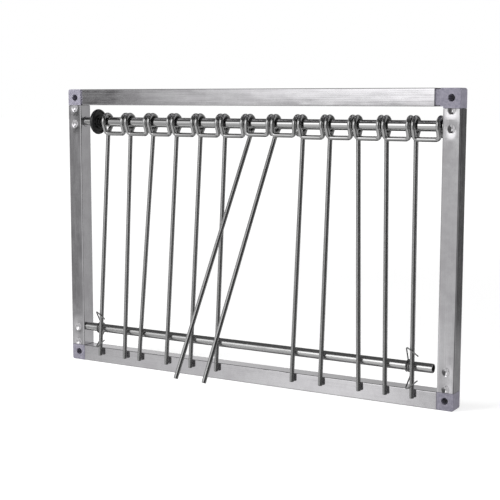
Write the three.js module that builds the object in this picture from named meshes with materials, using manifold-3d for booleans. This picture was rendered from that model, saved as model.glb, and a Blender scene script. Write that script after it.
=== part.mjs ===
// Pigeon trap door: a square-tube aluminium frame, a rod across its top, and thirteen bent-wire bobs on the rod.
// The bobs hang against the front of the bottom rail, so a bird can push them one way only.
// A second rod lies behind the bars, tied to the two end bobs by spring clips: lifting it opens every bob at once.
// Millimetres, +Z up. The origin is the middle of the frame's underside, and the bobs open towards -Y.

import * as THREE from 'three';
import { mergeVertices } from 'three/addons/utils/BufferGeometryUtils.js';
import Module from 'manifold-3d';

const wasm = await Module();
wasm.setup();

// Clearances that several pieces share
const seatGap = 0.3;
const cutOverrun = 2;

// Frame of square tube
const frameWidth = 398;
const frameHeight = 265;
const tubeSize = 15;
const tubeWall = 0.8;
const tubeEdgeRadius = 1.2;
const topRailLeftShortfall = 2;
const topRailRightShortfall = 7.6;

// Plastic corner connectors, each a block with two legs that plug into the tubes
const legClearance = 0.2;
const legLength = 26;
const legTipChamfer = 1.5;
const blockCornerRadius = 2;
const screwHoleRadius = 3;
const screwHoleInset = 8;

// Punched stakes that lock the posts to the connector legs
const stakeHalfWidth = 3.1;
const stakeHalfHeight = 3.8;
const stakeDepth = 1.3;
const stakeFromEnd = 3.7;
const stakeSpacing = 13.7;

// Upper rod and the rubber ring that keeps the bobs off the left post
const upperRodRadius = 4.5;
const upperRodDrop = 30.8;
const upperRodSeat = 9;
const ringRadius = 12;
const ringWidth = 5.7;
const ringRimRadius = 2.4;
const ringDishDepth = 1.4;
const ringHubRadius = 6;
const ringHubSlope = 0.8;
const ringFromPost = 12.3;

// Bobs, each one bent wire: a bar, an eye round the rod, a link and a second eye
const bobCount = 13;
const wireRadius = 2;
const eyeClearance = 0.3;
const eyeDepth = 11.1;
const eyeWireGap = 0.4;
const eyeEndShortfall = 2.4;
const neighbourSpacing = 4.7;
const bendRadius = 3;
const firstEyeInset = 26.6;
const lastEyeInset = 4.2;
const tipHeight = 7.7;
const longBarExtra = 6.5;

// From left to right: how far each bar's top lies to the right of its eye, in millimetres,
// its sideways lean in degrees, and how far its bob is swung forward in degrees
const barOffsets = [-0.4, -0.4, -0.4, -0.4, -0.4, -0.4, 1.2, 0.2, -0.4, -0.4, -0.1, -0.4, -0.4];
const barLeans = [-1.3, -0.5, -2.9, -1.6, -1.4, -0.9, -6.4, -6.2, -0.9, -0.4, 2.3, 1.9, 1.4];
const bobSwings = [0, 0, 0, 0, 0, 0, 19, 18, 0, 0, 0, 0, 0];

// Lift rod behind the bars
const liftRodRadius = 4;
const liftRodWall = 1;
const liftRodHeight = 33.9;
const liftRodLeftGap = 0.5;
const liftRodRightGap = 5;

// Spring clips, each a coil on the lift rod with two arms hooked round the front of a bar
const clipWireRadius = 0.55;
const clipClearance = 0.3;
const clipPitch = 2;
const clipTurns = 2;
const clipCoilOffset = 7.6;
const clipCornerOffset = 5;
const clipUpperRise = 15.6;
const clipLowerDrop = 17.6;
const clipTipReach = 6.3;
const clipUpperTipRise = 8.4;
const clipLowerTipDrop = 11.2;
const clipBendRadius = 2;

// Two stations of a wire's line closer than this are one
const sameStation = 0.005;

// Facet counts
const edgeSegments = 2;
const roundSides = 24;
const wireSides = 8;
const eyeSteps = 12;
const bendSteps = 4;
const clipSides = 6;
const clipStepsPerTurn = 12;
const clipBendSteps = 4;
const stakeSides = 14;
const stakeRings = 8;
const rimSteps = 6;

// Finishes
const aluminium = new THREE.MeshStandardMaterial({ color: 0xbfbfc2, roughness: 0.34, metalness: 1 });
const greyPlastic = new THREE.MeshStandardMaterial({ color: 0x8f8c9b, roughness: 0.55, metalness: 0 });
const polishedSteel = new THREE.MeshStandardMaterial({ color: 0xb4b4b6, roughness: 0.16, metalness: 1 });
const wireSteel = new THREE.MeshStandardMaterial({ color: 0x77777a, roughness: 0.3, metalness: 1 });
const clipSteel = new THREE.MeshStandardMaterial({ color: 0x8c8c90, roughness: 0.3, metalness: 1 });
const blackRubber = new THREE.MeshStandardMaterial({ color: 0x161617, roughness: 0.6, metalness: 0 });

// Sizes that follow from the ones above
const halfTube = tubeSize / 2;
const halfWidth = frameWidth / 2;
const innerHalfWidth = halfWidth - tubeSize;
const legSize = tubeSize - 2 * (tubeWall + legClearance);
const upperRodHeight = frameHeight - upperRodDrop;
const eyeRadius = upperRodRadius + eyeClearance + wireRadius;
const bobRowLength = 2 * innerHalfWidth - firstEyeInset - lastEyeInset;
const bobPitch = (bobRowLength + neighbourSpacing) / bobCount;
const linkLength = bobPitch - neighbourSpacing;
const firstEyeX = -innerHalfWidth + firstEyeInset;

// The link lies in front of the upper rod's axis and the bar as far behind it, so that they pass each other
const barSetback = wireRadius + eyeWireGap / 2;

// A bar at rest leans forward from the upper rod and clears the top edge of the bottom rail by the seat gap
const railDrop = upperRodHeight - tubeSize;
const railClearance = barSetback + wireRadius + seatGap;
const restLean = Math.atan2(halfTube, railDrop) + Math.asin(railClearance / Math.hypot(halfTube, railDrop));
const barReach = (upperRodHeight - tipHeight) / Math.cos(restLean);
const liftRodDrop = (upperRodHeight - liftRodHeight) / Math.cos(restLean);
const liftRodSetback = wireRadius + seatGap + liftRodRadius;

// Solid of a closed geometry, ready to cut and join
function toSolid(geometry) {
  const bare = new THREE.BufferGeometry();
  bare.setAttribute('position', geometry.getAttribute('position').clone());
  if (geometry.index) bare.setIndex(geometry.index.clone());
  const merged = mergeVertices(bare);
  const vertProperties = new Float32Array(merged.getAttribute('position').array);
  const triVerts = new Uint32Array(merged.index.array);
  return new wasm.Manifold(new wasm.Mesh({ numProp: 3, vertProperties, triVerts }));
}

// Flat-faced geometry of a cut or joined solid
function toGeometry(solid) {
  const cut = solid.getMesh();
  const indexed = new THREE.BufferGeometry();
  indexed.setAttribute('position', new THREE.BufferAttribute(new Float32Array(cut.vertProperties), cut.numProp));
  indexed.setIndex(new THREE.BufferAttribute(new Uint32Array(cut.triVerts), 1));
  const geometry = indexed.toNonIndexed();
  geometry.computeVertexNormals();
  return geometry;
}

// Square outline with rounded corners, centred on zero
function roundedSquare(size, radius) {
  const shape = new THREE.Shape();
  const reach = size / 2 - radius;
  shape.absarc(reach, reach, radius, 0, Math.PI / 2);
  shape.absarc(-reach, reach, radius, Math.PI / 2, Math.PI);
  shape.absarc(-reach, -reach, radius, Math.PI, 1.5 * Math.PI);
  shape.absarc(reach, -reach, radius, 1.5 * Math.PI, 2 * Math.PI);
  shape.closePath();
  return shape;
}

// Square outline with sharp corners, centred on zero
function plainSquare(size) {
  const reach = size / 2;
  const corners = [[reach, reach], [-reach, reach], [-reach, -reach], [reach, -reach]];
  return new THREE.Shape(corners.map(([x, y]) => new THREE.Vector2(x, y)));
}

// Prism of an outline along +Z, centred on its length
function prism(shape, length) {
  const options = { depth: length, bevelEnabled: false, curveSegments: edgeSegments };
  return new THREE.ExtrudeGeometry(shape, options).translate(0, 0, -length / 2);
}

// Square tube along +Z, centred on its length
function squareTube(length) {
  const shape = roundedSquare(tubeSize, tubeEdgeRadius);
  shape.holes.push(plainSquare(tubeSize - 2 * tubeWall));
  return prism(shape, length);
}

// Round rod along X between two places
function rodAlongX(radius, from, to) {
  const length = to - from;
  const rod = new THREE.CylinderGeometry(radius, radius, length, roundSides);
  return rod.rotateZ(Math.PI / 2).translate(from + length / 2, 0, 0);
}

// Flattened ball that presses a stake into the front wall; grow enlarges it on every side
function stakeBall(grow) {
  const ball = new THREE.SphereGeometry(1, stakeSides, stakeRings);
  return ball.scale(stakeHalfWidth + grow, stakeDepth + grow, stakeHalfHeight + grow);
}

// Heights of the stakes in a post, two near each end
function stakeHeights() {
  const low = tubeSize + stakeFromEnd;
  const high = frameHeight - tubeSize - stakeFromEnd;
  return [low, low + stakeSpacing, high - stakeSpacing, high];
}

// Rails: the top one stops short of both its connectors and shows part of their legs
function rail(from, to) {
  const length = to - from;
  return squareTube(length).rotateY(Math.PI / 2).translate(from + length / 2, 0, 0);
}

// Socket for an end of the upper rod, bored from the inner face of a post into the connector's leg
function rodSocket(side) {
  const mouth = side * (halfTube + cutOverrun);
  const floor = side * (halfTube - upperRodSeat - seatGap);
  return toSolid(rodAlongX(upperRodRadius + seatGap, Math.min(-mouth, -floor), Math.max(-mouth, -floor)));
}

// Posts: a tube with a hole for the upper rod in its inner wall and stakes pressed into its front wall
function post(side) {
  const length = frameHeight - 2 * (tubeSize + seatGap);
  const middle = frameHeight / 2;
  const outer = toSolid(prism(roundedSquare(tubeSize, tubeEdgeRadius), length).translate(0, 0, middle));
  let solid = toSolid(squareTube(length).translate(0, 0, middle));
  for (const height of stakeHeights()) {
    const bulge = toSolid(stakeBall(tubeWall).translate(0, -halfTube, height)).intersect(outer);
    const dent = toSolid(stakeBall(0).translate(0, -halfTube, height));
    solid = solid.add(bulge).subtract(dent);
  }
  return toGeometry(solid.subtract(rodSocket(side).translate([0, 0, upperRodHeight])));
}

// Connector leg from the middle of the block towards +Z, with its tip chamfered
function connectorLeg() {
  const straight = halfTube + legLength - legTipChamfer;
  const options = {
    depth: straight,
    bevelThickness: legTipChamfer,
    bevelSize: legTipChamfer,
    bevelOffset: -legTipChamfer,
    bevelSegments: 1,
  };
  return toSolid(new THREE.ExtrudeGeometry(plainSquare(legSize), options));
}

// Corner connector: side is -1 left or 1 right, end is -1 bottom or 1 top, and its frame is the block's centre
function connector(side, end) {
  const alongZ = toSolid(prism(roundedSquare(tubeSize, tubeEdgeRadius), tubeSize));
  const alongX = alongZ.rotate([0, 90, 0]);
  const corner = new THREE.Shape();
  const near = halfTube - blockCornerRadius;
  corner.moveTo(-side * halfTube, -end * halfTube);
  corner.lineTo(-side * halfTube, end * halfTube);
  corner.lineTo(side * near, end * halfTube);
  corner.absarc(side * near, end * near, blockCornerRadius, end * Math.PI / 2, side > 0 ? 0 : Math.PI, side * end > 0);
  corner.lineTo(side * halfTube, -end * halfTube);
  corner.closePath();
  const outline = toSolid(prism(corner, tubeSize).rotateX(Math.PI / 2));
  let solid = alongZ.intersect(alongX).intersect(outline);
  const postLeg = end > 0 ? connectorLeg().rotate([180, 0, 0]) : connectorLeg();
  const railLeg = connectorLeg().rotate([0, -side * 90, 0]);
  solid = solid.add(postLeg).add(railLeg);
  for (const height of stakeHeights()) {
    const fromBlock = height - (end > 0 ? frameHeight - halfTube : halfTube);
    const pocket = stakeBall(tubeWall + legClearance).translate(0, -halfTube, fromBlock);
    solid = solid.subtract(toSolid(pocket));
  }
  if (end > 0) solid = solid.subtract(rodSocket(side).translate([0, 0, halfTube - upperRodDrop]));
  const shift = halfTube - screwHoleInset;
  const length = tubeSize + 2 * cutOverrun;
  const screw = new THREE.CylinderGeometry(screwHoleRadius, screwHoleRadius, length, roundSides);
  return toGeometry(solid.subtract(toSolid(screw.translate(side * shift, 0, end * shift))));
}

// Rubber ring round the upper rod: a rounded rim and a hub, with a dish between them in each face
function rubberRing() {
  const half = ringWidth / 2;
  const bore = upperRodRadius + seatGap;
  const rimInner = ringRadius - ringRimRadius;
  const dishStart = ringHubRadius + ringHubSlope;
  const dishFloor = half - ringDishDepth;
  const profile = [[bore, half], [bore, -half], [ringHubRadius, -half], [dishStart, -dishFloor]];
  profile.push([rimInner - ringHubSlope, -dishFloor]);
  for (let step = 0; step <= rimSteps; step += 1) {
    const angle = (step / rimSteps) * Math.PI;
    profile.push([rimInner + ringRimRadius * Math.sin(angle), -half * Math.cos(angle)]);
  }
  profile.push([rimInner - ringHubSlope, dishFloor], [dishStart, dishFloor], [ringHubRadius, half]);
  const points = profile.map(([radius, across]) => new THREE.Vector2(radius, across));
  points.push(points[0].clone());
  return new THREE.LatheGeometry(points, roundSides).rotateZ(Math.PI / 2);
}

// Curve that steps from station to station, so straight runs need none between their ends
class StationCurve extends THREE.Curve {
  constructor(stations) {
    super();
    this.stations = stations;
  }

  getPoint(share, target = new THREE.Vector3()) {
    const at = Math.round(share * (this.stations.length - 1));
    return target.copy(this.stations[at]);
  }

  getPointAt(share, target) {
    return this.getPoint(share, target);
  }

  getTangentAt(share, target = new THREE.Vector3()) {
    const last = this.stations.length - 1;
    const at = Math.round(share * last);
    const here = this.stations[at];
    const arriving = here.clone().sub(this.stations[Math.max(at - 1, 0)]).normalize();
    const leaving = this.stations[Math.min(at + 1, last)].clone().sub(here).normalize();
    return target.copy(arriving).add(leaving).normalize();
  }
}

// Round wire through a list of stations
function wire(stations, radius, sides) {
  const outline = [];
  for (let side = 0; side < sides; side += 1) {
    const angle = (side / sides) * 2 * Math.PI;
    outline.push(new THREE.Vector2(radius * Math.cos(angle), radius * Math.sin(angle)));
  }
  const extrudePath = new StationCurve(stations);
  const options = { steps: stations.length - 1, bevelEnabled: false, extrudePath };
  return new THREE.ExtrudeGeometry(new THREE.Shape(outline), options);
}

// Stations along straight runs between corners, with a bend of one radius at each inner corner
function bentRun(corners, radius, steps) {
  const stations = [corners[0]];
  for (let i = 1; i < corners.length - 1; i += 1) {
    const back = corners[i - 1].clone().sub(corners[i]).normalize();
    const onward = corners[i + 1].clone().sub(corners[i]).normalize();
    const half = back.angleTo(onward) / 2;
    const inward = back.clone().add(onward).normalize();
    const centre = corners[i].clone().addScaledVector(inward, radius / Math.sin(half));
    const first = corners[i].clone().addScaledVector(back, radius / Math.tan(half)).sub(centre);
    const final = corners[i].clone().addScaledVector(onward, radius / Math.tan(half)).sub(centre);
    const sweep = Math.PI - 2 * half;
    for (let step = 0; step <= steps; step += 1) {
      const angle = (step / steps) * sweep;
      const spoke = first.clone().multiplyScalar(Math.sin(sweep - angle) / Math.sin(sweep));
      stations.push(spoke.addScaledVector(final, Math.sin(angle) / Math.sin(sweep)).add(centre));
    }
  }
  stations.push(corners[corners.length - 1]);
  return stations;
}

// Stations round an axis along X, from one angle to another; 0 is +Y and a quarter turn is +Z
function turnRun(radius, fromAngle, toAngle, fromX, toX, steps) {
  const stations = [];
  for (let step = 0; step <= steps; step += 1) {
    const share = step / steps;
    const angle = fromAngle + share * (toAngle - fromAngle);
    const x = fromX + share * (toX - fromX);
    stations.push(new THREE.Vector3(x, radius * Math.cos(angle), radius * Math.sin(angle)));
  }
  return stations;
}

// One run after another, leaving out a start that repeats the end before it
function joinRuns(...runs) {
  const stations = [];
  for (const run of runs) {
    for (const point of run) {
      const last = stations[stations.length - 1];
      if (!last || last.distanceTo(point) > sameStation) stations.push(point);
    }
  }
  return stations;
}

// Centre line of a bob, hanging straight down from the upper rod's axis with its eye at X = 0
// The bar goes up behind the rod, over it and down its front into the link, and the second eye goes back over it
function bobStations(offset, lean, extra) {
  const spread = Math.acos(eyeRadius / Math.hypot(barSetback, eyeDepth));
  const back = spread - Math.atan2(eyeDepth, barSetback);
  const front = Math.PI - back;
  const barLength = barReach + extra - eyeDepth;
  const tipX = offset + barLength * Math.tan(THREE.MathUtils.degToRad(lean));
  const tip = new THREE.Vector3(tipX, barSetback, -barReach - extra);
  const barTop = new THREE.Vector3(offset, barSetback, -eyeDepth);
  const linkStart = new THREE.Vector3(0, -barSetback, -eyeDepth);
  const linkEnd = new THREE.Vector3(linkLength, -barSetback, -eyeDepth);
  const underTail = new THREE.Vector3(linkLength, barSetback, -eyeDepth);
  const firstTurn = turnRun(eyeRadius, back, front, 0, 0, eyeSteps);
  const secondTurn = turnRun(eyeRadius, front, back, linkLength, linkLength, eyeSteps);
  const tail = secondTurn[eyeSteps];
  const tailLength = tail.distanceTo(underTail) - eyeEndShortfall;
  const tailEnd = tail.clone().addScaledVector(underTail.clone().sub(tail).normalize(), tailLength);
  const bar = bentRun([tip, barTop, firstTurn[0]], bendRadius, bendSteps);
  const link = bentRun([firstTurn[eyeSteps], linkStart, linkEnd, secondTurn[0]], bendRadius, bendSteps);
  return joinRuns(bar, firstTurn, link, secondTurn, [tailEnd]);
}

// Centre line of a spring clip round the lift rod's axis, with the bar it holds at X = 0 in front of it
// Both arms leave the back of the coil, come forward past the left of the bar and cross its front
function clipStations() {
  const coilRadius = liftRodRadius + clipClearance + clipWireRadius;
  const frontY = -(liftRodSetback + wireRadius + clipClearance + clipWireRadius);
  const cornerY = frontY + clipWireRadius;
  const leaves = (height) => {
    const turned = Math.acos(coilRadius / Math.hypot(cornerY, height));
    return Math.atan2(height, cornerY) - Math.sign(height) * turned;
  };
  const start = leaves(clipUpperRise);
  const sweep = start - leaves(-clipLowerDrop) + clipTurns * 2 * Math.PI;
  const endX = -clipCoilOffset + clipPitch * sweep / (2 * Math.PI);
  const steps = Math.round(clipStepsPerTurn * sweep / (2 * Math.PI));
  const coil = turnRun(coilRadius, start, start - sweep, -clipCoilOffset, endX, steps);
  const upperTip = new THREE.Vector3(clipTipReach, frontY, clipUpperTipRise);
  const upperCorner = new THREE.Vector3(-clipCornerOffset, cornerY, clipUpperRise);
  const lowerCorner = new THREE.Vector3(-clipCornerOffset, cornerY, -clipLowerDrop);
  const lowerTip = new THREE.Vector3(clipTipReach, frontY, -clipLowerTipDrop);
  const upperArm = bentRun([upperTip, upperCorner, coil[0]], clipBendRadius, clipBendSteps);
  const lowerArm = bentRun([coil[steps], lowerCorner, lowerTip], clipBendRadius, clipBendSteps);
  return joinRuns(upperArm, coil, lowerArm);
}

// Least gap of a wire to itself, between points of its centre line more than half a turn apart
function leastGap(stations, radius, halfTurn) {
  let least = Infinity;
  for (let i = 0; i < stations.length; i += 1) {
    for (let j = i + halfTurn; j < stations.length; j += 1) {
      least = Math.min(least, stations[i].distanceTo(stations[j]) - 2 * radius);
    }
  }
  return least;
}

// Sideways place of a bar at a depth below the upper rod
function barX(index, depth) {
  const lean = THREE.MathUtils.degToRad(barLeans[index]);
  return firstEyeX + index * bobPitch + barOffsets[index] + (depth - eyeDepth) * Math.tan(lean);
}

function addPiece(parent, name, geometry, material) {
  const mesh = new THREE.Mesh(geometry, material);
  mesh.name = name;
  parent.add(mesh);
  return mesh;
}

const group = new THREE.Group();

// Frame
const railStart = -innerHalfWidth + seatGap;
const railEnd = innerHalfWidth - seatGap;
const topRailTube = rail(-innerHalfWidth + topRailLeftShortfall, innerHalfWidth - topRailRightShortfall);
const topRail = addPiece(group, 'top_rail', topRailTube, aluminium);
topRail.position.z = frameHeight - halfTube;
const bottomRail = addPiece(group, 'bottom_rail', rail(railStart, railEnd), aluminium);
bottomRail.position.z = halfTube;

for (const [sideName, side] of [['left', -1], ['right', 1]]) {
  const column = addPiece(group, `${sideName}_post`, post(side), aluminium);
  column.position.x = side * (halfWidth - halfTube);
  for (const [endName, end] of [['top', 1], ['bottom', -1]]) {
    const block = addPiece(group, `${endName}_${sideName}_connector`, connector(side, end), greyPlastic);
    block.position.x = side * (halfWidth - halfTube);
    block.position.z = end > 0 ? frameHeight - halfTube : halfTube;
  }
}

// Everything on the upper rod's axis hangs in this group
const rodAxis = new THREE.Group();
rodAxis.position.z = upperRodHeight;
group.add(rodAxis);

const rodReach = innerHalfWidth + upperRodSeat;
addPiece(rodAxis, 'upper_rod', rodAlongX(upperRodRadius, -rodReach, rodReach), polishedSteel);
const ring = addPiece(rodAxis, 'rubber_ring', rubberRing(), blackRubber);
ring.position.x = -innerHalfWidth + ringFromPost + ringWidth / 2;

// Bobs, turned about the rod by the rest lean and by any swing beyond it
for (let index = 0; index < bobCount; index += 1) {
  const extra = bobSwings[index] > 0 ? longBarExtra : 0;
  const name = `bob_${String(index + 1).padStart(2, '0')}`;
  const line = bobStations(barOffsets[index], barLeans[index], extra);
  const bob = addPiece(rodAxis, name, wire(line, wireRadius, wireSides), wireSteel);
  bob.position.x = firstEyeX + index * bobPitch;
  bob.rotation.x = -restLean - THREE.MathUtils.degToRad(bobSwings[index]);
}

// Lift rod and its clips, leaning with the end bobs
const liftGroup = new THREE.Group();
liftGroup.rotation.x = -restLean;
rodAxis.add(liftGroup);

const liftFrom = -innerHalfWidth + liftRodLeftGap;
const liftTo = innerHalfWidth - liftRodRightGap;
const liftBore = toSolid(rodAlongX(liftRodRadius - liftRodWall, liftFrom - cutOverrun, liftTo + cutOverrun));
const liftTube = toGeometry(toSolid(rodAlongX(liftRodRadius, liftFrom, liftTo)).subtract(liftBore));
const liftRod = addPiece(liftGroup, 'lift_rod', liftTube, polishedSteel);
liftRod.position.set(0, barSetback + liftRodSetback, -liftRodDrop);

const clipLine = clipStations();
console.log(`least gap in a spring clip: ${leastGap(clipLine, clipWireRadius, clipStepsPerTurn / 2).toFixed(2)} mm`);
for (const [name, index] of [['left_clip', 0], ['right_clip', bobCount - 1]]) {
  const clip = addPiece(liftGroup, name, wire(clipLine, clipWireRadius, clipSides), clipSteel);
  clip.position.set(barX(index, liftRodDrop), barSetback + liftRodSetback, -liftRodDrop);
}

export default group;
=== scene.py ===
"""Looks of the pigeon trap door.

A square-tube frame, bent-wire bobs that hang from a rod, and a second rod, clipped on, that lifts them.
"""

import math

import bpy
from mathutils import Matrix, Vector


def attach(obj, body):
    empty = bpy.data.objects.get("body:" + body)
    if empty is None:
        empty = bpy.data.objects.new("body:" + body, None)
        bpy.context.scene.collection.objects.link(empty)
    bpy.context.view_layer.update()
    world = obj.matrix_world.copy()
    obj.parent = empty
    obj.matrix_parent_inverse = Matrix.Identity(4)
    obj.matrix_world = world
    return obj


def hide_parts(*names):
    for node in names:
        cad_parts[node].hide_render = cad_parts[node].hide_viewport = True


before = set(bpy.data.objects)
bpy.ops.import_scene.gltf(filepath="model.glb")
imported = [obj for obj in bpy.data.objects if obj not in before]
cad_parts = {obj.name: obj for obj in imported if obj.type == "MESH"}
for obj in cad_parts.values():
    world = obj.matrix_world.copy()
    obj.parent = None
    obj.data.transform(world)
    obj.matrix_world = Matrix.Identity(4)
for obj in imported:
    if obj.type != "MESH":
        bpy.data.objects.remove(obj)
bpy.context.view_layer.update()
scene = bpy.context.scene
scene.view_settings.view_transform = "Standard"
mm = 0.001


# Camera
# A long lens stands to the right of the trap, level with its top rail, and
# looks slightly down on its sill.
camera_data = bpy.data.cameras.new("camera")
camera_data.lens = 83.63
camera_data.sensor_width = 36.0
camera_data.clip_start = 0.05
camera_data.clip_end = 50.0
camera = bpy.data.objects.new("camera", camera_data)
camera.location = (523.7 * mm, -897.5 * mm, 254.1 * mm)
camera.rotation_euler = [math.radians(turn) for turn in (82.693, -0.101, 30.258)]
scene.collection.objects.link(camera)
scene.camera = camera


# Square aluminium tubes
# Two rails and two posts of thin drawn tube, brushed along their length. The
# posts' front walls are pressed in at each end, which locks the corner legs.
FRAME_WIDTH = 398 * mm
FRAME_HEIGHT = 265 * mm
TUBE = 15 * mm
TUBE_WALL = 0.8 * mm
TUBE_EDGE = 0.8 * mm
TUBE_EDGE_STEPS = 4
TUBE_GAP = 0.3 * mm
TOP_RAIL_LEFT_SHORTFALL = 2 * mm
TOP_RAIL_RIGHT_SHORTFALL = 7.6 * mm
ROD_HOLE_RADIUS = 4.8 * mm
UPPER_ROD_Z = 234.2 * mm
RIGHT_POST_SHORTFALL = 1.3 * mm
STAKE_FROM_BLOCK = 2.8 * mm
STAKE_SPACING = 15 * mm
STAKE_HALF_WIDTH = 3.1 * mm
STAKE_HALF_HEIGHT = 3.9 * mm
STAKE_DEPTH = 1.2 * mm
STAKE_STEEPNESS = 1.4
STAKE_STEPS = 9
HOLLOW_DEPTH = 0.17 * mm
HOLLOW_REACH = 4.2 * mm
HOLLOW_STEPS = 5
END_MARGIN = 0.1 * mm
HOLE_SIDES = 48
TOUCHING = 0.01 * mm


class Socket:
    """A node's output, so that sums on it are written as sums."""

    def __init__(self, nodes, socket):
        self.nodes = nodes
        self.socket = socket

    def pick(self, output):
        """Another output of the same node."""
        return Socket(self.nodes, self.socket.node.outputs[output])

    def math(self, operation, *terms):
        return self.nodes.add("ShaderNodeMath", {"operation": operation}, dict(enumerate(terms)))

    def __add__(self, other):
        return self.math("ADD", self, other)

    def __sub__(self, other):
        return self.math("SUBTRACT", self, other)

    def __rsub__(self, other):
        return self.math("SUBTRACT", other, self)

    def __mul__(self, other):
        return self.math("MULTIPLY", self, other)

    def __truediv__(self, other):
        return self.math("DIVIDE", self, other)

    __radd__ = __add__
    __rmul__ = __mul__


class Nodes:
    """The nodes of one material or of the world."""

    def __init__(self, owner):
        owner.use_nodes = True
        self.tree = owner.node_tree
        self.tree.nodes.clear()

    def add(self, kind, settings=None, inputs=None, output=0):
        node = self.tree.nodes.new(kind)
        for name, value in (settings or {}).items():
            setattr(node, name, value)
        for name, value in (inputs or {}).items():
            if isinstance(value, Socket):
                self.tree.links.new(value.socket, node.inputs[name])
            else:
                node.inputs[name].default_value = value
        return Socket(self, node.outputs[output]) if node.outputs else None

    def place(self):
        """Where a point of the piece lies in the shared frame when the piece is at rest."""
        return self.add("ShaderNodeTexCoord", output="Object")

    def noise(self, place, scale, detail, roughness):
        inputs = {"Vector": place, "Scale": scale, "Detail": detail, "Roughness": roughness}
        return self.add("ShaderNodeTexNoise", {}, inputs, "Fac")

    def stretch(self, place, factors):
        return self.add("ShaderNodeVectorMath", {"operation": "MULTIPLY"}, {0: place, 1: factors})

    def smooth(self, value, low, high):
        """A share that rises smoothly from low to high, or falls where low is the larger."""
        settings = {"interpolation_type": "SMOOTHSTEP"}
        return self.add("ShaderNodeMapRange", settings, {"Value": value, "From Min": low, "From Max": high})

    def band(self, value, start, full, fade, end):
        """A share that rises from start to full, stays there, and falls from fade to end."""
        return self.smooth(value, start, full) * self.smooth(value, end, fade)

    def mix(self, share, first, second):
        return self.add("ShaderNodeMix", {"data_type": "RGBA"}, {0: share, 6: first, 7: second}, 2)

    def bump(self, strength, depth, height, below=None):
        inputs = {"Strength": strength, "Distance": depth, "Height": height}
        if below is not None:
            inputs["Normal"] = below
        return self.add("ShaderNodeBump", {}, inputs)

    def surface(self, sockets):
        """The surface shader, with its constants and links."""
        shader = self.add("ShaderNodeBsdfPrincipled", {}, sockets)
        self.add("ShaderNodeOutputMaterial", {}, {"Surface": shader})


def grey(level):
    return (level, level, level, 1.0)


def make_object(name, vertices, faces):
    mesh = bpy.data.meshes.new(name)
    mesh.from_pydata([tuple(v) for v in vertices], [], faces)
    mesh.validate()
    piece = bpy.data.objects.new(name, mesh)
    scene.collection.objects.link(piece)
    return piece


def settle(piece):
    """Gives the piece the mesh that its modifiers make, and takes them off."""
    bpy.context.view_layer.update()
    graph = bpy.context.evaluated_depsgraph_get()
    mesh = bpy.data.meshes.new_from_object(piece.evaluated_get(graph), depsgraph=graph)
    piece.modifiers.clear()
    piece.data = mesh
    mesh.name = piece.name


def combine(piece, tool, operation):
    """Takes the tool's shape out of the piece, or adds it, and deletes the tool."""
    step = piece.modifiers.new("combine", "BOOLEAN")
    step.operation = operation
    step.solver = "EXACT"
    step.object = tool
    settle(piece)
    bpy.data.objects.remove(tool)


def shade(piece, crease=32.0):
    """Smooth shading that keeps flat faces flat and edges sharper than the crease angle sharp."""
    piece.data.shade_smooth()
    piece.data.set_sharp_from_angle(angle=math.radians(crease))
    weigh = piece.modifiers.new("weigh", "WEIGHTED_NORMAL")
    weigh.keep_sharp = True
    weigh.weight = 100
    settle(piece)


def dress(piece, material, slot, body, *nodes):
    """Gives a piece its material and the body that carries it, and hides the nodes that it stands for. The
    slot is not used.
    """
    piece.data.materials.clear()
    piece.data.materials.append(material)
    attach(piece, body)
    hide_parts(*nodes)


def loft(rings, capped=True):
    """Vertices and faces of a skin over rings of as many points each, closed at both ends if capped."""
    count = len(rings[0])
    vertices = [point for ring in rings for point in ring]
    faces = []
    for i in range(len(rings) - 1):
        for j in range(count):
            k = (j + 1) % count
            faces.append((i * count + j, i * count + k, (i + 1) * count + k, (i + 1) * count + j))
    if capped:
        faces.append(tuple(reversed(range(count))))
        faces.append(tuple((len(rings) - 1) * count + j for j in range(count)))
    return vertices, faces


def hollow_loft(rings):
    """Vertices and faces of a skin that comes back to its first ring, as round a tube's wall."""
    vertices, faces = loft(rings, capped=False)
    count = len(rings[0])
    last = (len(rings) - 1) * count
    for j in range(count):
        k = (j + 1) % count
        faces.append((last + j, last + k, k, j))
    return vertices, faces


def tube_outline(front_places):
    """Points round a square tube, as pairs of places across and through it, with extra ones at the front."""
    half = TUBE / 2
    points = []
    for corner, (side_x, side_y) in enumerate(((1, 1), (-1, 1), (-1, -1), (1, -1))):
        centre_x, centre_y = side_x * (half - TUBE_EDGE), side_y * (half - TUBE_EDGE)
        for step in range(TUBE_EDGE_STEPS + 1):
            turn = math.pi / 2 * (corner + step / TUBE_EDGE_STEPS)
            points.append((centre_x + TUBE_EDGE * math.cos(turn), centre_y + TUBE_EDGE * math.sin(turn)))
        if corner == 2:
            points.extend((place, -half) for place in front_places)
    return points


def stake_press(across, along):
    """How far the front wall is pressed in near a stake: a punched dimple in a wider, shallow hollow."""
    u = across / STAKE_HALF_WIDTH
    v = along / STAKE_HALF_HEIGHT
    dimple = max(0.0, 1 - u * u - v * v) ** STAKE_STEEPNESS
    edge = max(0.0, 1 - (across / (TUBE / 2 - TUBE_EDGE)) ** 2)
    hollow = edge * math.exp(-(across * across + along * along) / (2 * HOLLOW_REACH * HOLLOW_REACH))
    return STAKE_DEPTH * dimple + HOLLOW_DEPTH * hollow


def graded_places(half, reach):
    """Places from -reach to reach, close together over the dimple and wider apart outside it."""
    places = [half * (i / STAKE_STEPS - 1) for i in range(2 * STAKE_STEPS + 1)]
    outside = [half + (reach - half) * i / HOLLOW_STEPS for i in range(1, HOLLOW_STEPS + 1)]
    return [-place for place in reversed(outside)] + places + outside


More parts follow.
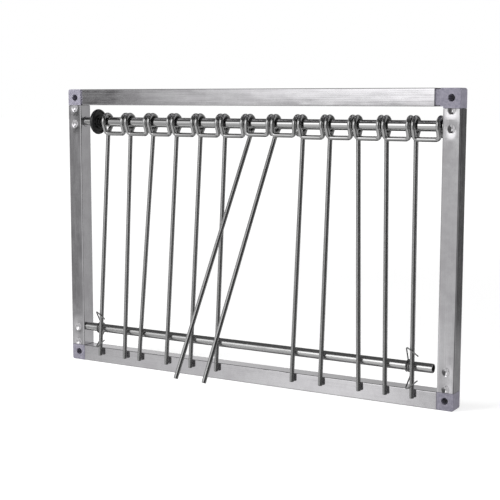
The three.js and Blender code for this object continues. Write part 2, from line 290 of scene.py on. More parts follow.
def square_tube(name, length, stakes=()):
    """A square tube along Z, standing on zero, with its open ends and any stakes in its front wall."""
    front = graded_places(STAKE_HALF_WIDTH, TUBE / 2 - TUBE_EDGE)[1:-1] if stakes else []
    outline = tube_outline(front)
    heights = {0.0, length}
    for stake in stakes:
        places = [stake + z for z in graded_places(STAKE_HALF_HEIGHT, 3 * HOLLOW_REACH)]
        heights.update(round(z, 7) for z in places if END_MARGIN < z < length - END_MARGIN)
    outer = []
    for z in sorted(heights):
        ring = []
        for x, y in outline:
            press = 0.0
            if stakes and abs(y + TUBE / 2) < TOUCHING:
                press = sum(stake_press(x, z - stake) for stake in stakes)
            ring.append(Vector((x, y + press, z)))
        outer.append(ring)
    inner_half = TUBE / 2 - TUBE_WALL
    shrink = inner_half / (TUBE / 2)
    inner = [[Vector((v.x * shrink, v.y * shrink, v.z)) for v in ring] for ring in outer]
    return make_object(name, *hollow_loft([*outer, *reversed(inner)]))


def aluminium_finish(name, along):
    """Mill-finish aluminium: fine drawn lines along the tube, cloudy smears, and walls not quite flat."""
    material = bpy.data.materials.new(name)
    nodes = Nodes(material)
    place = nodes.place()

    def drawn(across_scale, along_scale):
        """The place, squeezed across the tube and along it."""
        return nodes.stretch(place, [along_scale if share else across_scale for share in along])

    lines = nodes.noise(drawn(2600.0, 12.0), 1.0, 3.0, 0.6)
    bands = nodes.noise(drawn(650.0, 7.0), 1.0, 2.0, 0.5)
    waves = nodes.noise(drawn(55.0, 16.0), 1.0, 2.0, 0.5)
    smears = nodes.smooth(nodes.noise(place, 75.0, 4.0, 0.62), 0.3, 0.7)
    tone = lines * 0.3 + bands * 0.3 + smears * 0.4
    nodes.surface({
        "Base Color": nodes.mix(tone, (0.72, 0.70, 0.73, 1.0), (0.97, 0.965, 0.985, 1.0)),
        "Roughness": 0.02 + lines * 0.04 + smears * 0.07,
        "Metallic": 1.0,
        "Normal": nodes.bump(1.0, 0.22 * mm, waves, nodes.bump(0.5, 0.04 * mm, lines)),
    })
    return material


rail_finish = aluminium_finish("rail_aluminium", (1, 0, 0))
post_finish = aluminium_finish("post_aluminium", (0, 0, 1))

INNER_HALF = FRAME_WIDTH / 2 - TUBE
for name, left_gap, right_gap, height in (
    ("top_rail_tube", TOP_RAIL_LEFT_SHORTFALL, TOP_RAIL_RIGHT_SHORTFALL, FRAME_HEIGHT - TUBE / 2),
    ("bottom_rail_tube", TUBE_GAP, TUBE_GAP, TUBE / 2),
):
    rail = square_tube(name, 2 * INNER_HALF - left_gap - right_gap)
    start = Matrix.Translation((-INNER_HALF + left_gap, 0, height))
    rail.data.transform(start @ Matrix.Rotation(math.pi / 2, 4, "Y"))
    shade(rail)
    dress(rail, rail_finish, "frame_tube", "frame", name.removesuffix("_tube"))

post_length = FRAME_HEIGHT - 2 * (TUBE + TUBE_GAP)
stake_low = STAKE_FROM_BLOCK - TUBE_GAP
stake_high = post_length - stake_low
for name, side, shortfall in (("left_post", -1, 0), ("right_post", 1, RIGHT_POST_SHORTFALL)):
    stakes = (stake_low, stake_low + STAKE_SPACING, stake_high - STAKE_SPACING, stake_high)
    post = square_tube(name + "_tube", post_length - shortfall, stakes)
    post.data.transform(Matrix.Translation((side * (FRAME_WIDTH - TUBE) / 2, 0, TUBE + TUBE_GAP)))
    bpy.ops.mesh.primitive_cylinder_add(vertices=HOLE_SIDES, radius=ROD_HOLE_RADIUS, depth=TUBE)
    drill = bpy.context.object
    drill.data.transform(Matrix.Rotation(math.pi / 2, 4, "Y"))
    drill.data.transform(Matrix.Translation((side * (INNER_HALF - TUBE / 4), 0, UPPER_ROD_Z)))
    combine(post, drill, "DIFFERENCE")
    shade(post)
    dress(post, post_finish, "frame_tube", "frame", name)


# Corner connectors
# Moulded grey-lilac plastic blocks. Two plain legs on each plug into the
# tubes, and a screw hole runs through the block from front to back.
LEG_CLEARANCE = 0.2 * mm
LEG = TUBE - 2 * (TUBE_WALL + LEG_CLEARANCE)
LEG_LENGTH = 26 * mm
LEG_CHAMFER = 1.5 * mm
COLLAR_INSET = 0.5 * mm
BLOCK_EDGE = 0.7 * mm
BLOCK_EDGE_STEPS = 3
BLOCK_CORNER = 2 * mm
BLOCK_CORNER_STEPS = 6
BLOCK_SHOULDER = 2.4 * mm
SCREW_HOLE_RADIUS = 3 * mm
SCREW_HOLE_INSET = 8 * mm
HOLE_FLARE = 0.25 * mm
HOLE_DRAFT = 0.75 * mm
POCKET_GROWTH = TUBE_WALL + TUBE_GAP
POCKET_SIDES = 32


def block_outline(side, end, shoulder, extra):
    """Outline of a connector's block seen from the front, with its outer corner rounded.

    The shoulder is how much further the block reaches towards the rail, and the extra towards the post.
    """
    half = TUBE / 2
    near = half - BLOCK_CORNER
    points = [(-side * half, -end * (half + extra)), (-side * half, -end * half)]
    points += [(-side * (half + shoulder), -end * half), (-side * (half + shoulder), end * half)]
    for step in range(BLOCK_CORNER_STEPS + 1):
        turn = math.pi / 2 * step / BLOCK_CORNER_STEPS
        across, up = BLOCK_CORNER * math.sin(turn), BLOCK_CORNER * math.cos(turn)
        points.append((side * (near + across), end * (near + up)))
    points.append((side * half, -end * (half + extra)))
    if not shoulder:
        del points[1:3]
    return points


def soften_outer_edges(block, side, end):
    """Rounds the block's edges, all but the ones that meet a tube."""
    weights = block.data.attributes.new("bevel_weight_edge", "FLOAT", "EDGE")
    half = TUBE / 2
    for edge, weight in zip(block.data.edges, weights.data):
        middle = sum((block.data.vertices[i].co for i in edge.vertices), Vector()) / 2
        at_rail = middle.x * side < -half + TOUCHING
        at_post = middle.z * end < -half + TOUCHING
        weight.value = 0.0 if at_rail or at_post or abs(middle.y) < TOUCHING else 1.0
    soften = block.modifiers.new("soften", "BEVEL")
    soften.width = BLOCK_EDGE
    soften.segments = BLOCK_EDGE_STEPS
    soften.limit_method = "WEIGHT"
    settle(block)


def box_leg(name, direction, tube_end):
    """A square leg from the block's middle: a collar up to the tube's end, then the leg and its chamfer."""
    half = LEG / 2
    collar = TUBE / 2 - COLLAR_INSET
    end = TUBE / 2 + LEG_LENGTH
    rings = []
    for reach, place in (
        (collar, 0.0),
        (collar, tube_end),
        (half, tube_end),
        (half, end - LEG_CHAMFER),
        (half - LEG_CHAMFER, end),
    ):
        corners = ((reach, reach), (-reach, reach), (-reach, -reach), (reach, -reach))
        rings.append([Vector((x, y, place)) for x, y in corners])
    leg = make_object(name, *loft(rings))
    leg.data.transform(Vector((0, 0, 1)).rotation_difference(Vector(direction)).to_matrix().to_4x4())
    return leg


def flared_drill():
    """The screw hole's shape along Y: flared where it opens at the front, and narrower towards the back."""
    half = TUBE / 2
    rings = []
    for place, radius in (
        (-half - mm, SCREW_HOLE_RADIUS + HOLE_FLARE + mm),
        (-half + HOLE_FLARE, SCREW_HOLE_RADIUS),
        (half + mm, SCREW_HOLE_RADIUS - HOLE_DRAFT),
    ):
        turns = [2 * math.pi * i / HOLE_SIDES for i in range(HOLE_SIDES)]
        rings.append([Vector((radius * math.sin(turn), place, radius * math.cos(turn))) for turn in turns])
    return make_object("drill", *loft(rings))


def plastic_finish():
    """Grey-lilac moulded plastic with a fine matt grain and a mottled surface."""
    material = bpy.data.materials.new("corner_plastic")
    nodes = Nodes(material)
    place = nodes.place()
    grain = nodes.noise(place, 2400.0, 3.0, 0.65)
    mottle = nodes.smooth(nodes.noise(place, 480.0, 3.0, 0.65), 0.3, 0.7)
    tone = grain * 0.5 + mottle * 0.5
    nodes.surface({
        "Base Color": nodes.mix(tone, (0.15, 0.142, 0.185, 1.0), (0.33, 0.318, 0.375, 1.0)),
        "Roughness": 0.42 + mottle * 0.2,
        "Specular IOR Level": 0.4,
        "Normal": nodes.bump(0.35, 0.06 * mm, grain),
    })
    return material


corner_finish = plastic_finish()
for side_name, side in (("left", -1), ("right", 1)):
    for end_name, end in (("top", 1), ("bottom", -1)):
        name = f"{end_name}_{side_name}_connector"
        shoulder, extra = (BLOCK_SHOULDER, RIGHT_POST_SHORTFALL) if side > 0 and end > 0 else (0, 0)
        outline = block_outline(side, end, shoulder, extra)
        if side * end < 0:
            outline.reverse()
        rings = [[Vector((x, y, z)) for x, z in outline] for y in (TUBE / 2, -TUBE / 2)]
        block = make_object(name + "_block", *loft(rings))
        soften_outer_edges(block, side, end)
        post_leg = box_leg("leg", (0, 0, -end), TUBE / 2 + extra + TUBE_GAP / 2)
        for stake in (STAKE_FROM_BLOCK, STAKE_FROM_BLOCK + STAKE_SPACING):
            ring_count = POCKET_SIDES // 2
            bpy.ops.mesh.primitive_uv_sphere_add(segments=POCKET_SIDES, ring_count=ring_count, radius=1)
            pocket = bpy.context.object
            sizes = [size + POCKET_GROWTH for size in (STAKE_HALF_WIDTH, STAKE_DEPTH, STAKE_HALF_HEIGHT)]
            pocket.data.transform(Matrix.Diagonal((*sizes, 1)))
            pocket.data.transform(Matrix.Translation((0, -TUBE / 2, -end * (TUBE / 2 + stake))))
            combine(post_leg, pocket, "DIFFERENCE")
        combine(block, post_leg, "UNION")
        combine(block, box_leg("leg", (-side, 0, 0), TUBE / 2 + TUBE_GAP / 2), "UNION")
        inset = TUBE / 2 - SCREW_HOLE_INSET
        drill = flared_drill()
        drill.data.transform(Matrix.Translation((side * inset, 0, end * inset)))
        combine(block, drill, "DIFFERENCE")
        place = (side * (FRAME_WIDTH - TUBE) / 2, 0, FRAME_HEIGHT - TUBE / 2 if end > 0 else TUBE / 2)
        block.data.transform(Matrix.Translation(place))
        shade(block)
        dress(block, corner_finish, "corner_plastic", "frame", name)


# Upper rod
# A solid polished steel rod under the top rail, on which the bobs turn. Its
# ends sit in holes in the posts' inner walls and in the connectors' legs.
ROD_RADIUS = 4.5 * mm
ROD_BEVEL = 0.5 * mm
ROD_SEAT = 9 * mm
ROD_SIDES = 64


def rod_rings(profile):
    """Rings round the X axis from pairs of place along it and radius."""
    rings = []
    for x, radius in profile:
        ring = []
        for i in range(ROD_SIDES):
            turn = 2 * math.pi * i / ROD_SIDES
            ring.append(Vector((x, radius * math.cos(turn), radius * math.sin(turn))))
        rings.append(ring)
    return rings


def rod_steel(name, roughness):
    """Drawn, polished steel along X: fine lengthwise lines and a slightly uneven shine."""
    material = bpy.data.materials.new(name)
    nodes = Nodes(material)
    place = nodes.place()
    lines = nodes.noise(nodes.stretch(place, (10.0, 2200.0, 2200.0)), 1.0, 3.0, 0.6)
    cloud = nodes.noise(place, 70.0, 3.0, 0.6)
    nodes.surface({
        "Base Color": nodes.mix(lines * 0.6 + cloud * 0.4, grey(0.7), grey(0.95)),
        "Roughness": roughness + lines * 0.04 + cloud * 0.04,
        "Metallic": 1.0,
        "Normal": nodes.bump(0.15, 0.03 * mm, lines),
    })
    return material


rod_end = INNER_HALF + ROD_SEAT
profile = [(-rod_end, ROD_RADIUS - ROD_BEVEL), (-rod_end + ROD_BEVEL, ROD_RADIUS)]
profile += [(rod_end - ROD_BEVEL, ROD_RADIUS), (rod_end, ROD_RADIUS - ROD_BEVEL)]
upper_rod = make_object("upper_rod_bar", *loft(rod_rings(profile)))
upper_rod.data.transform(Matrix.Translation((0, 0, UPPER_ROD_Z)))
shade(upper_rod)
dress(upper_rod, rod_steel("rod_steel", 0.07), "polished_rod", "frame", "upper_rod")


# Rubber ring
# A soft black ring pushed on to the rod. It keeps the first bob off the left
# post. Its rim is rounded, and both of its faces are dished.
RING_RADIUS = 12 * mm
RING_WIDTH = 4.7 * mm
RING_RIM = 2 * mm
RING_HUB = 6 * mm
RING_DISH = 1.4 * mm
RING_DISH_STEPS = 6
RING_RIM_STEPS = 24
RING_HUB_SLOPE = 0.8 * mm
RING_BORE = 4.8 * mm
RING_FROM_POST = 13.2 * mm
RING_CREASE = 50.0


def ring_profile():
    """The ring's section: its bore, and in each face a hub, a dish and the start of the rounded rim."""
    half = RING_WIDTH / 2
    rim_start = RING_RADIUS - RING_RIM
    floor = half - RING_DISH
    face = [(half, RING_BORE), (half, RING_HUB - RING_HUB_SLOPE / 4)]
    for start, end, high, low in (
        (RING_HUB, RING_HUB + RING_HUB_SLOPE, half, floor),
        (rim_start - RING_HUB_SLOPE, rim_start, floor, half),
    ):
        for step in range(RING_DISH_STEPS + 1):
            share = step / RING_DISH_STEPS
            rise = share * share * (3 - 2 * share)
            face.append((high + (low - high) * rise, start + (end - start) * share))
    rim = []
    for step in range(1, RING_RIM_STEPS):
        turn = math.pi * step / RING_RIM_STEPS
        rim.append((-half * math.cos(turn), rim_start + RING_RIM * math.sin(turn)))
    return [(-across, radius) for across, radius in face] + rim + list(reversed(face))


def rubber_finish():
    """Soft black rubber with a thin shine, a little dusty in patches."""
    material = bpy.data.materials.new("ring_rubber")
    nodes = Nodes(material)
    dust = nodes.noise(nodes.place(), 260.0, 4.0, 0.7)
    nodes.surface({
        "Base Color": nodes.mix(dust, (0.003, 0.003, 0.004, 1.0), (0.012, 0.012, 0.013, 1.0)),
        "Roughness": 0.2 + dust * 0.2,
        "Specular IOR Level": 0.6,
        "Coat Weight": 0.3,
        "Coat Roughness": 0.08,
        "Normal": nodes.bump(0.2, 0.06 * mm, dust),
    })
    return material


ring = make_object("rubber_ring_body", *hollow_loft(rod_rings(ring_profile())))
ring.data.transform(Matrix.Translation((-INNER_HALF + RING_FROM_POST + RING_WIDTH / 2, 0, UPPER_ROD_Z)))
shade(ring, RING_CREASE)
dress(ring, rubber_finish(), "ring_rubber", "frame", "rubber_ring")


# Bobs
# Each bob is one length of steel wire: a long bar, an eye round the rod, a
# short link along under the rod, and a second eye whose end closes on the link.
BOB_COUNT = 13
WIRE_RADIUS = 2 * mm
EYE_CLEARANCE = 0.3 * mm
EYE_RADIUS = ROD_RADIUS + EYE_CLEARANCE + WIRE_RADIUS
EYE_STEPS = 36
EYE_DEPTH = 11.1 * mm
LINK_GAP = 0.2 * mm
BAR_SETBACK = WIRE_RADIUS + LINK_GAP
EYE_END_SHORTFALL = 2.4 * mm
NEIGHBOUR_SPACING = 4.7 * mm
BEND_RADIUS = 3 * mm
BEND_STEPS = 10
FIRST_EYE_INSET = 26.6 * mm
LAST_EYE_INSET = 4.2 * mm
TIP_HEIGHT = 7.7 * mm
LONG_BAR_EXTRA = 6.5 * mm
WIRE_SIDES = 20
WIRE_CREASE = 40.0
WIRE_END_BEVEL = 0.2
WORN_BELOW_EYE = 3 * mm
WORN_BLEND = 8 * mm
# Painted shade inside the eyes: how near the rod it starts, where it is full, and how much of it darkens the
# wire.
INNER_SHADE_START = EYE_RADIUS + 0.5 * mm
INNER_SHADE_FULL = EYE_RADIUS - 1 * mm
INNER_SHADE_SHARE = 0.9

# From the first bob to the last: how far in mm the bar starts from the eye's
# middle, and how many degrees it leans sideways and is swung forward.
BAR_OFFSETS = (-0.8, -0.7, -0.8, -0.7, -0.8, -0.8, 1.2, 0.2, -0.4, -0.4, -0.1, -0.4, -0.4)
BAR_LEANS = (-1.2, -0.4, -2.8, -1.5, -1.3, -0.8, -6.4, -6.2, -0.9, -0.4, 2.3, 1.9, 1.4)
BOB_SWINGS = (0, 0, 0, 0, 0, 0, 19, 18, 0, 0, 0, 0, 0)

# The bobs share out the rod between the ring and the right post, and the bars
# at rest lean forward just enough to lie on the bottom rail's front.
BOB_PITCH = (2 * INNER_HALF - FIRST_EYE_INSET - LAST_EYE_INSET + NEIGHBOUR_SPACING) / BOB_COUNT
LINK = BOB_PITCH - NEIGHBOUR_SPACING
FIRST_EYE_X = -INNER_HALF + FIRST_EYE_INSET
RAIL_DROP = UPPER_ROD_Z - TUBE
RAIL_CLEARANCE = BAR_SETBACK + WIRE_RADIUS + TUBE_GAP
REST_LEAN = math.atan2(TUBE / 2, RAIL_DROP) + math.asin(RAIL_CLEARANCE / math.hypot(TUBE / 2, RAIL_DROP))
BAR_REACH = (UPPER_ROD_Z - TIP_HEIGHT) / math.cos(REST_LEAN)


def bent_run(corners, radius, steps):
    """Points along straight runs, with a bend of one radius at each inner corner."""
    points = [corners[0]]
    for before, corner, after in zip(corners, corners[1:], corners[2:]):
        back = (before - corner).normalized()
        onward = (after - corner).normalized()
        half = back.angle(onward) / 2
        centre = corner + (back + onward).normalized() * (radius / math.sin(half))
        first = corner + back * (radius / math.tan(half)) - centre
        final = corner + onward * (radius / math.tan(half)) - centre
        sweep = math.pi - 2 * half
        for step in range(steps + 1):
            turn = sweep * step / steps
            spoke = first * math.sin(sweep - turn) + final * math.sin(turn)
            points.append(centre + spoke / math.sin(sweep))
    points.append(corners[-1])
    return points


def turn_run(radius, start, end, start_x, end_x, steps):
    """Points round an axis along X; angle 0 is towards +Y and a quarter turn is up."""
    points = []
    for step in range(steps + 1):
        share = step / steps
        turn = start + share * (end - start)
        x = start_x + share * (end_x - start_x)
        points.append(Vector((x, radius * math.cos(turn), radius * math.sin(turn))))
    return points


def join_runs(*runs):
    """One line through all the runs, without points that lie on top of each other."""
    points = []
    for run in runs:
        points.extend(p for p in run if not points or (p - points[-1]).length > TOUCHING)
    return points


def bob_line(offset, lean, extra):
    """Centre line of a bob that hangs straight down, from the rod's axis, with its first eye at X = 0."""
    spread = math.acos(EYE_RADIUS / math.hypot(BAR_SETBACK, EYE_DEPTH))
    back = spread - math.atan2(EYE_DEPTH, BAR_SETBACK)
    front = math.pi - back
    length = BAR_REACH + extra - EYE_DEPTH
    tip = Vector((offset + length * math.tan(math.radians(lean)), BAR_SETBACK, -BAR_REACH - extra))
    bar_top = Vector((offset, BAR_SETBACK, -EYE_DEPTH))
    link_start = Vector((0, -BAR_SETBACK, -EYE_DEPTH))
    link_end = Vector((LINK, -BAR_SETBACK, -EYE_DEPTH))
    first_eye = turn_run(EYE_RADIUS, back, front, 0, 0, EYE_STEPS)
    second_eye = turn_run(EYE_RADIUS, front, back, LINK, LINK, EYE_STEPS)
    tail = second_eye[-1]
    along_tail = Vector((LINK, BAR_SETBACK, -EYE_DEPTH)) - tail
    tail_end = tail + along_tail.normalized() * (along_tail.length - EYE_END_SHORTFALL)
    bar = bent_run([tip, bar_top, first_eye[0]], BEND_RADIUS, BEND_STEPS)
    link = bent_run([first_eye[-1], link_start, link_end, second_eye[0]], BEND_RADIUS, BEND_STEPS)
    return join_runs(bar, first_eye, link, second_eye, [tail_end])


def wire(name, line, radius, sides):
    """A round wire along a line, with its cut ends slightly rounded over.

    The attribute "drawn" says how far along the wire and where across it each point lies.
    """
    tangents = []
    for i in range(len(line)):
        arriving = line[i] - line[i - 1] if i else line[1] - line[0]
        leaving = line[i + 1] - line[i] if i + 1 < len(line) else arriving
        tangents.append((arriving.normalized() + leaving.normalized()).normalized())
    across = tangents[0].orthogonal().normalized()
    bevel = radius * WIRE_END_BEVEL
    stations = [(line[0], radius - bevel), (line[0] + tangents[0] * bevel, radius)]
    stations += [(point, radius) for point in line[1:-1]]
    stations += [(line[-1] - tangents[-1] * bevel, radius), (line[-1], radius - bevel)]
    tangents = [tangents[0], *tangents, tangents[-1]]
    rings, runs, run = [], [], 0.0
    for i, (point, size) in enumerate(stations):
        across = (across - tangents[i] * across.dot(tangents[i])).normalized()
        other = tangents[i].cross(across)
        if i:
            run += (point - stations[i - 1][0]).length
        ring = []
        for j in range(sides):
            turn = 2 * math.pi * j / sides
            spoke = across * math.cos(turn) + other * math.sin(turn)
            ring.append(point + spoke * size)
            runs.append((run, size * math.cos(turn), size * math.sin(turn)))
        rings.append(ring)
    piece = make_object(name, *loft(rings))
    drawn = piece.data.attributes.new("drawn", "FLOAT_VECTOR", "POINT")
    drawn.data.foreach_set("vector", [part for place in runs for part in place])
    piece.data.shade_smooth()
    piece.data.set_sharp_from_angle(angle=math.radians(WIRE_CREASE))
    return piece


def wire_finish(name, dark, light, roughness, worn_from):
    """Drawn wire, scratched along its length and patchy.

    From the given place along it the wire is rubbed bright, and the inside of an eye, next to the rod, is
    darkened nearly to black with painted shade.
    """
    material = bpy.data.materials.new(name)
    nodes = Nodes(material)
    place = nodes.add("ShaderNodeAttribute", {"attribute_name": "drawn"}, output="Vector")
    along = nodes.add("ShaderNodeSeparateXYZ", {}, {0: place})
    worn = nodes.smooth(along, worn_from, worn_from + WORN_BLEND)
    lines = nodes.noise(nodes.stretch(place, (30.0, 1800.0, 1800.0)), 1.0, 3.0, 0.6)
    patches = nodes.noise(nodes.stretch(place, (120.0, 300.0, 300.0)), 1.0, 3.0, 0.6)
    tone = lines * 0.5 + patches * 0.5
    plain = nodes.mix(tone, grey(dark), grey(light))
    bright = nodes.mix(tone, grey(dark + 0.1), grey(light + 0.3))
    # Painted shade: the side of the wire that faces the rod, inside each eye, is darkened nearly to black.
    terms = {0: nodes.place(), 1: (0, 1, 1), 2: (0, 0, -UPPER_ROD_Z)}
    across_rod = nodes.add("ShaderNodeVectorMath", {"operation": "MULTIPLY_ADD"}, terms)
    from_rod = nodes.add("ShaderNodeVectorMath", {"operation": "LENGTH"}, {0: across_rod}, "Value")
    inner_shade = nodes.smooth(from_rod, INNER_SHADE_START, INNER_SHADE_FULL) * INNER_SHADE_SHARE
    nodes.surface({
        "Base Color": nodes.mix(inner_shade, nodes.mix(worn, plain, bright), grey(0.03)),
        "Roughness": (0.7 + patches * 0.6) * roughness * (1 - worn * 0.62),
        "Metallic": 1.0,
        "Normal": nodes.bump(0.3, 0.04 * mm, lines),
    })
    return material


bob_finish = wire_finish("bob_wire", 0.34, 0.64, 0.26, BAR_REACH - EYE_DEPTH - WORN_BELOW_EYE)
for index in range(BOB_COUNT):
    node = f"bob_{index + 1:02d}"
    extra = LONG_BAR_EXTRA if BOB_SWINGS[index] else 0.0
    line = bob_line(BAR_OFFSETS[index] * mm, BAR_LEANS[index], extra)
    bob = wire(node + "_wire", line, WIRE_RADIUS, WIRE_SIDES)
    turn = Matrix.Rotation(-REST_LEAN - math.radians(BOB_SWINGS[index]), 4, "X")
    bob.data.transform(Matrix.Translation((FIRST_EYE_X + index * BOB_PITCH, 0, UPPER_ROD_Z)) @ turn)
    body = "gate" if index in (0, BOB_COUNT - 1) else node
    dress(bob, bob_finish, "bob_wire", body, node)


# Lift rod
# A polished steel tube, open at both ends, that lies behind all the bars.
# Nothing holds it but the clips on the two end bars.
LIFT_RADIUS = 4 * mm
LIFT_WALL = 1 * mm
LIFT_BEVEL = 0.25 * mm
LIFT_Z = 33.9 * mm
LIFT_LEFT_GAP = 0.5 * mm
LIFT_RIGHT_GAP = 5 * mm
LIFT_SETBACK = WIRE_RADIUS + TUBE_GAP + LIFT_RADIUS
LIFT_DROP = (UPPER_ROD_Z - LIFT_Z) / math.cos(REST_LEAN)
lift_axis = Matrix.Translation((0, 0, UPPER_ROD_Z)) @ Matrix.Rotation(-REST_LEAN, 4, "X")

left_end = -INNER_HALF + LIFT_LEFT_GAP
right_end = INNER_HALF - LIFT_RIGHT_GAP
bore = LIFT_RADIUS - LIFT_WALL
profile = [(left_end + LIFT_BEVEL, LIFT_RADIUS), (right_end - LIFT_BEVEL, LIFT_RADIUS)]
profile += [(right_end, LIFT_RADIUS - LIFT_BEVEL), (right_end, bore + LIFT_BEVEL)]
profile += [(right_end - LIFT_BEVEL, bore), (left_end + LIFT_BEVEL, bore)]
profile += [(left_end, bore + LIFT_BEVEL), (left_end, LIFT_RADIUS - LIFT_BEVEL)]
lift_rod = make_object("lift_rod_tube", *hollow_loft(rod_rings(profile)))
lift_rod.data.transform(lift_axis @ Matrix.Translation((0, BAR_SETBACK + LIFT_SETBACK, -LIFT_DROP)))
shade(lift_rod)
dress(lift_rod, rod_steel("lift_rod_steel", 0.19), "polished_rod", "gate", "lift_rod")


# Spring clips
# Thin spring wire wound round the lift rod beside each end bar. Both arms of
# a clip come past the left of the bar and hook round its front.
CLIP_RADIUS = 0.6 * mm
CLIP_CLEARANCE = 0.3 * mm
CLIP_PITCH = 2 * mm
CLIP_TURNS = 2
CLIP_COIL_STEPS = 90
CLIP_COIL_OFFSET = 7.6 * mm
CLIP_CORNER_OFFSET = 5 * mm
CLIP_UPPER_RISE = 17.2 * mm
CLIP_LOWER_DROP = 20 * mm
CLIP_TIP_REACH = 6.3 * mm
CLIP_UPPER_TIP = 10.2 * mm
CLIP_LOWER_TIP = 10.2 * mm
CLIP_BEND = 2 * mm
CLIP_BEND_STEPS = 8
CLIP_SIDES = 12
CLIP_NEVER_WORN = 1000 * mm


def clip_line():
    """Centre line of a clip, from the lift rod's axis, with the bar that it holds at X = 0."""
    coil_radius = LIFT_RADIUS + CLIP_CLEARANCE + CLIP_RADIUS
    front_y = -(LIFT_SETBACK + WIRE_RADIUS + CLIP_CLEARANCE + CLIP_RADIUS)
    corner_y = front_y + CLIP_RADIUS

    def leaves(height):
        """The angle at which an arm to a corner at this height leaves the coil."""
        turned = math.acos(coil_radius / math.hypot(corner_y, height))
        return math.atan2(height, corner_y) - math.copysign(turned, height)

    start = leaves(CLIP_UPPER_RISE)
    sweep = start - leaves(-CLIP_LOWER_DROP) + CLIP_TURNS * 2 * math.pi
    end_x = -CLIP_COIL_OFFSET + CLIP_PITCH * sweep / (2 * math.pi)
    coil = turn_run(coil_radius, start, start - sweep, -CLIP_COIL_OFFSET, end_x, CLIP_COIL_STEPS)
    upper_tip = Vector((CLIP_TIP_REACH, front_y, CLIP_UPPER_TIP))
    upper_corner = Vector((-CLIP_CORNER_OFFSET, corner_y, CLIP_UPPER_RISE))
    lower_corner = Vector((-CLIP_CORNER_OFFSET, corner_y, -CLIP_LOWER_DROP))
    lower_tip = Vector((CLIP_TIP_REACH, front_y, -CLIP_LOWER_TIP))
    upper_arm = bent_run([upper_tip, upper_corner, coil[0]], CLIP_BEND, CLIP_BEND_STEPS)
    lower_arm = bent_run([coil[-1], lower_corner, lower_tip], CLIP_BEND, CLIP_BEND_STEPS)
    return join_runs(upper_arm, coil, lower_arm)


clip_finish = wire_finish("clip_wire", 0.24, 0.48, 0.14, CLIP_NEVER_WORN)
for name, index in (("left_clip", 0), ("right_clip", BOB_COUNT - 1)):
    clip = wire(name + "_spring", clip_line(), CLIP_RADIUS, CLIP_SIDES)
    drift = (LIFT_DROP - EYE_DEPTH) * math.tan(math.radians(BAR_LEANS[index]))
    bar_x = FIRST_EYE_X + index * BOB_PITCH + BAR_OFFSETS[index] * mm + drift
    clip.data.transform(lift_axis @ Matrix.Translation((bar_x, BAR_SETBACK + LIFT_SETBACK, -LIFT_DROP)))
    dress(clip, clip_finish, "clip_wire", "gate", name)


# Studio
# A plain white floor and background, and two soft lamps that metal doesn't
# show. What metal shows is painted here: cards, a bench, walls and a doorway,
# each as bright as the real surroundings look in the frame, rods and wires.
FLOOR_REACH = 12.0
FLAG_LEFT, FLAG_RIGHT = 24 * mm, 700 * mm
FLAG_BOTTOM, FLAG_TOP = -300 * mm, 800 * mm
FLAG_Y = -660 * mm
FLAG_FADE_START, FLAG_FADE_END = 20 * mm, 320 * mm
LAMP_AIM = Vector((0, 0, 130 * mm))
DEGREE = math.pi / 180

corners = [(x * FLOOR_REACH, y * FLOOR_REACH, 0) for x, y in ((-1, -1), (1, -1), (1, 1), (-1, 1))]
floor = make_object("studio_floor", corners, [(0, 1, 2, 3)])
floor_material = bpy.data.materials.new("studio_floor")
nodes = Nodes(floor_material)
ray = nodes.add("ShaderNodeLightPath")
away = nodes.add("ShaderNodeVectorMath", {"operation": "LENGTH"}, {0: nodes.place()}, "Value")
white = nodes.mix(nodes.smooth(away, 0.3, 1.8), grey(0.6), grey(0.95))
matt = nodes.add("ShaderNodeBsdfDiffuse", {}, {"Color": grey(0.6)})
glow = nodes.add("ShaderNodeEmission", {}, {"Color": white, "Strength": ray.pick("Is Camera Ray")})
lit = nodes.add("ShaderNodeAddShader", {}, {0: matt, 1: glow})
clear = nodes.add("ShaderNodeBsdfTransparent", {}, {"Color": grey(1.0)})
shown = nodes.add("ShaderNodeMixShader", {}, {0: ray.pick("Is Glossy Ray"), 1: lit, 2: clear})
nodes.add("ShaderNodeOutputMaterial", {}, {"Surface": shown})
floor.data.materials.append(floor_material)

# A flag, which is a dark card, at the front right, seen only in the metal. It
# gives the wires their dark right halves, and is paler towards its left edge.
corners = [(FLAG_LEFT, FLAG_Y, FLAG_BOTTOM), (FLAG_RIGHT, FLAG_Y, FLAG_BOTTOM)]
corners += [(FLAG_RIGHT, FLAG_Y, FLAG_TOP), (FLAG_LEFT, FLAG_Y, FLAG_TOP)]
flag = make_object("black_card", corners, [(0, 1, 2, 3)])
flag_material = bpy.data.materials.new("black_card")
nodes = Nodes(flag_material)
along = nodes.add("ShaderNodeSeparateXYZ", {}, {0: nodes.place()})
flag_shade = nodes.mix(nodes.smooth(along, FLAG_FADE_START, FLAG_FADE_END), grey(0.42), grey(0.1))
dull = nodes.add("ShaderNodeEmission", {}, {"Color": flag_shade})
nodes.add("ShaderNodeOutputMaterial", {}, {"Surface": dull})
flag.data.materials.append(flag_material)
flag.visible_camera = flag.visible_diffuse = flag.visible_shadow = False

# Every direction round the trap is given in degrees: left of straight ahead
# of it, height above the horizon, and overhead from ahead up and over.
world = bpy.data.worlds.new("studio")
scene.world = world
nodes = Nodes(world)
seen = nodes.add("ShaderNodeLightPath", output="Is Camera Ray")
x = nodes.add("ShaderNodeSeparateXYZ", {}, {0: nodes.add("ShaderNodeTexCoord", output="Generated")})
y, z = x.pick("Y"), x.pick("Z")
left = nodes.add("ShaderNodeMath", {"operation": "ARCTAN2"}, {0: 0 - x, 1: 0 - y}) / DEGREE
height = nodes.add("ShaderNodeMath", {"operation": "ARCSINE"}, {0: z}) / DEGREE
overhead = nodes.add("ShaderNodeMath", {"operation": "ARCTAN2"}, {0: z, 1: 0 - y}) / DEGREE

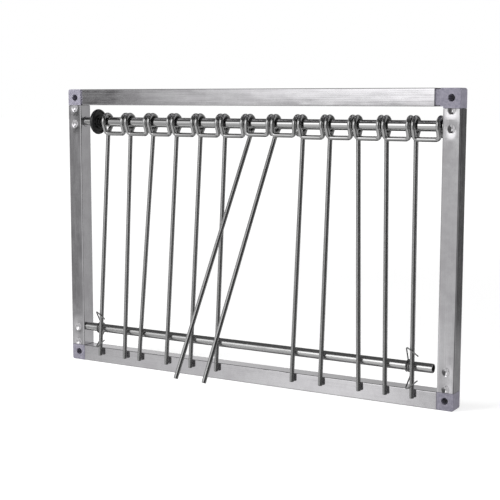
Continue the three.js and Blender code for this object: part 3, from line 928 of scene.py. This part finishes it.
# A big card at the front left: duller at its left end, where it has a dark
# strip low down, brightest in the middle and duller again to the right.
strip = nodes.band(left, 35.0, 36.9, 42.0, 46.0) * nodes.smooth(height, 9.0, 3.0)
card = 0.46 + nodes.smooth(left, 37.0, 22.0) * 0.64 - nodes.smooth(left, 17.0, 3.0) * 0.42
card = card - strip * 0.46 + nodes.smooth(height, -0.6, 1.2) * 0.06
card = card + nodes.smooth(height, 3.0, 9.0) * nodes.smooth(left, 37.5, 30.5) * 0.4
card = card * nodes.band(left, -42.0, -22.0, 50.0, 60.0) * nodes.smooth(overhead, 42.0, 34.0)

# Below it a duller bench, with a pale near edge that is palest to the right.
bench = 0.13 + nodes.smooth(left, 40.5, 37.0) * 0.17 + nodes.smooth(left, 37.0, 20.0) * 0.13
edge = nodes.band(height, -24.0, -15.0, -11.4, -9.6) * nodes.smooth(left, 20.5, 24.0)
bench = bench + edge * (0.2 + nodes.smooth(left, 32.0, 27.0) * 0.13)
bench = bench + nodes.smooth(height, -22.0, -33.0) * 0.14 - nodes.smooth(height, -45.0, -75.0) * 0.22
bench = bench * nodes.band(left, -50.0, -5.0, 55.0, 70.0)
aside = nodes.smooth(left, 17.0, 9.0) + nodes.smooth(left, 42.0, 47.0)
above = nodes.smooth(height + aside * 9.0, -1.2, 0.3)

# A pale wall at the left, and past it a band of light; a grey wall at the back
# right and another straight behind; and between these two a dark doorway.
pale_wall = nodes.band(left, 48.0, 62.0, 116.0, 134.0) * nodes.smooth(height, -78.0, -38.0) * 0.58
grey_wall = nodes.band(left, -153.0, -146.0, -120.0, -92.0) * 0.3
back_wall = (nodes.smooth(left, 160.0, 171.0) + nodes.smooth(left, -160.0, -171.0)) * 0.4
walls = (pale_wall + grey_wall + back_wall) * nodes.smooth(height, 48.0, 30.0)
lit_band = nodes.smooth(left, 116.0, 130.0) * (0.56 - nodes.smooth(left, 144.0, 160.0) * 0.2)
lit_band = lit_band * nodes.band(height, 7.0, 10.5, 19.0, 26.0)
doorway = nodes.smooth(left, -145.0, -150.0) * 0.04
doorway_floor = nodes.smooth(height, -9.8, -12.4) * nodes.smooth(left, -120.0, -150.0) * 0.14
low_right = nodes.smooth(height, -2.0, -5.0) * nodes.band(left, -145.0, -130.0, -35.0, -20.0) * 0.09
ceiling = nodes.smooth(height, 34.0, 50.0) * 0.05

light = 0.025 + card * above + bench * (1 - above) + walls + lit_band
light = light + ceiling + low_right + doorway + doorway_floor
shown = nodes.mix(seen, light, grey(1.0))
background = nodes.add("ShaderNodeBackground", {}, {"Color": shown, "Strength": 1.0})
nodes.add("ShaderNodeOutputWorld", {}, {"Surface": background})

for name, place, size, energy in (
    ("left_lamp", (-0.75, -0.8, 0.75), 0.8, 18.0),
    ("right_lamp", (1.3, -0.15, 0.7), 0.6, 11.0),
):
    lamp_data = bpy.data.lights.new(name, "AREA")
    lamp_data.size = size
    lamp_data.energy = energy
    lamp = bpy.data.objects.new(name, lamp_data)
    lamp.location = place
    lamp.rotation_euler = (LAMP_AIM - lamp.location).to_track_quat("-Z", "Y").to_euler()
    lamp.visible_glossy = False
    scene.collection.objects.link(lamp)
